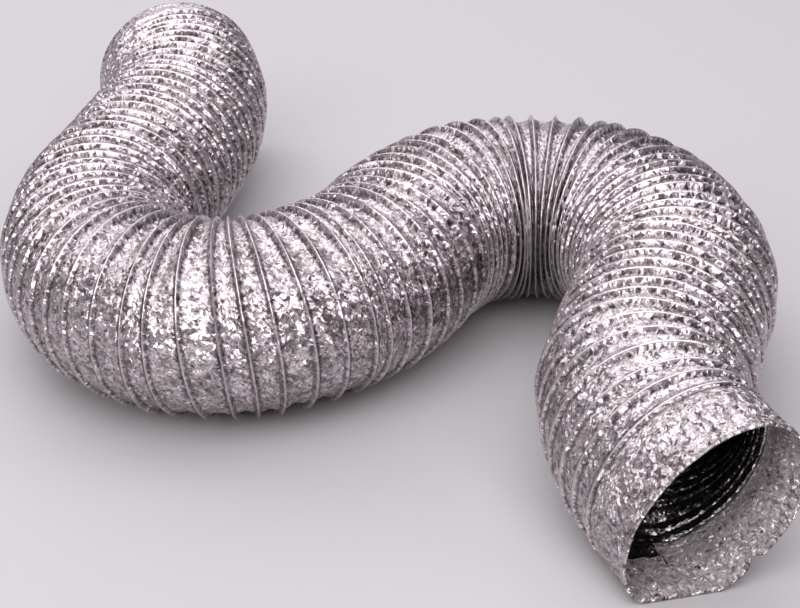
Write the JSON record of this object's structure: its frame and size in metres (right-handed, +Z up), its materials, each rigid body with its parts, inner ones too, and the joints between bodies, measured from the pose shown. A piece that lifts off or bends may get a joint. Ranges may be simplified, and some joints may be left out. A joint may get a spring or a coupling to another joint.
{
  "type": "flexible foil duct",
  "caption": "Flexible foil ventilation duct of two foil plies over a spring wire helix, lying in an S, with a bare cuff at each end, a short one at the far end.",
  "frame": {"origin": "centre of the near opening, in the plane of its rim", "axes": "+Y along the duct as it leaves the near opening, +Z up; the floor is at z = -outer radius"},
  "size_m": [0.4044, 0.5718, 0.1058],
  "materials": {
    "foil": "crinkled bright foil",
    "inner_foil": "crinkled bright foil",
    "spring_wire": "drawn wire"
  },
  "bodies": {
    "length_01": {"outer_foil_01": "foil", "outer_fold_01": "foil", "inner_foil_01": "inner_foil", "wire_coil_01": "spring_wire", "near_cuff": "foil"},
    "length_02": {"outer_foil_02": "foil", "outer_fold_02": "foil", "inner_foil_02": "inner_foil", "wire_coil_02": "spring_wire"},
    "length_03": {"outer_foil_03": "foil", "outer_fold_03": "foil", "inner_foil_03": "inner_foil", "wire_coil_03": "spring_wire"},
    "length_04": {"outer_foil_04": "foil", "outer_fold_04": "foil", "inner_foil_04": "inner_foil", "wire_coil_04": "spring_wire"},
    "length_05": {"outer_foil_05": "foil", "outer_fold_05": "foil", "inner_foil_05": "inner_foil", "wire_coil_05": "spring_wire"},
    "length_06": {"outer_foil_06": "foil", "outer_fold_06": "foil", "inner_foil_06": "inner_foil", "wire_coil_06": "spring_wire"},
    "length_07": {"outer_foil_07": "foil", "outer_fold_07": "foil", "inner_foil_07": "inner_foil", "wire_coil_07": "spring_wire"},
    "length_08": {"outer_foil_08": "foil", "outer_fold_08": "foil", "inner_foil_08": "inner_foil", "wire_coil_08": "spring_wire"},
    "length_09": {"outer_foil_09": "foil", "outer_fold_09": "foil", "inner_foil_09": "inner_foil", "wire_coil_09": "spring_wire"},
    "length_10": {"outer_foil_10": "foil", "outer_fold_10": "foil", "inner_foil_10": "inner_foil", "wire_coil_10": "spring_wire"},
    "length_11": {"outer_foil_11": "foil", "outer_fold_11": "foil", "inner_foil_11": "inner_foil", "wire_coil_11": "spring_wire"},
    "length_12": {"outer_foil_12": "foil", "outer_fold_12": "foil", "inner_foil_12": "inner_foil", "wire_coil_12": "spring_wire", "far_cuff": "foil"}
  },
  "joints": [
    {"name": "near_turn", "type": "hinge", "parent": "length_02", "child": "length_01", "pos_m": [0.01437, 0.08764, 0], "axis": [0, 0, 1], "range_deg": [-30, 15], "deforming": ["outer_fold_01", "inner_foil_01", "wire_coil_01"]},
    {"name": "near_lift", "type": "hinge", "parent": "length_03", "child": "length_02", "pos_m": [0.0607, 0.16475, 0], "axis": [-0.829, 0.5592, 0], "range_deg": [0, 25], "deforming": ["outer_fold_02", "inner_foil_02", "wire_coil_02"]},
    {"name": "right_bend_3", "type": "hinge", "parent": "length_04", "child": "length_03", "pos_m": [0.0805, 0.25049, 0], "axis": [0, 0, 1], "range_deg": [-5, 45], "deforming": ["outer_fold_03", "inner_foil_03", "wire_coil_03"]},
    {"name": "right_bend", "type": "hinge", "parent": "length_05", "child": "length_04", "pos_m": [0.04885, 0.29923, 0], "axis": [0, 0, 1], "range_deg": [-5, 48], "deforming": ["outer_fold_04", "inner_foil_04", "wire_coil_04"]},
    {"name": "right_bend_5", "type": "hinge", "parent": "length_06", "child": "length_05", "pos_m": [-0.00883, 0.30631, 0], "axis": [0, 0, 1], "range_deg": [-5, 42], "deforming": ["outer_fold_05", "inner_foil_05", "wire_coil_05"]},
    {"name": "middle_stretch", "type": "slide", "parent": "length_07", "child": "length_06", "axis": [0.6018, 0.7986, 0], "range_m": [-0.012, 0.035], "deforming": ["outer_fold_06", "inner_foil_06", "wire_coil_06", "outer_fold_07", "inner_foil_07", "wire_coil_07"]},
    {"name": "left_bend_7", "type": "hinge", "parent": "length_07", "child": "length_08", "pos_m": [-0.13122, 0.22468, 0], "axis": [0, 0, 1], "range_deg": [-5, 45], "deforming": ["outer_fold_08", "inner_foil_08", "wire_coil_08"]},
    {"name": "left_bend", "type": "hinge", "parent": "length_08", "child": "length_09", "pos_m": [-0.18785, 0.23775, 0], "axis": [0, 0, 1], "range_deg": [-5, 46], "deforming": ["outer_fold_09", "inner_foil_09", "wire_coil_09"]},
    {"name": "left_bend_9", "type": "hinge", "parent": "length_09", "child": "length_10", "pos_m": [-0.21616, 0.28883, 0], "axis": [0, 0, 1], "range_deg": [-5, 40], "deforming": ["outer_fold_10", "inner_foil_10", "wire_coil_10"]},
    {"name": "far_lift", "type": "hinge", "parent": "length_10", "child": "length_11", "pos_m": [-0.19775, 0.37542, 0], "axis": [0.866, -0.5, 0], "range_deg": [0, 25], "deforming": ["outer_fold_11", "inner_foil_11", "wire_coil_11"]},
    {"name": "far_turn", "type": "hinge", "parent": "length_11", "child": "length_12", "pos_m": [-0.15082, 0.4637, 0], "axis": [0, 0, 1], "range_deg": [-30, 20], "deforming": ["outer_fold_12", "inner_foil_12", "wire_coil_12"]}
  ],
  "couplings": [
    {"joint": "right_bend_3", "follows": "right_bend", "ratio": 0.92},
    {"joint": "right_bend_5", "follows": "right_bend", "ratio": 0.85},
    {"joint": "left_bend_7", "follows": "left_bend", "ratio": 0.95},
    {"joint": "left_bend_9", "follows": "left_bend", "ratio": 0.85}
  ]
}
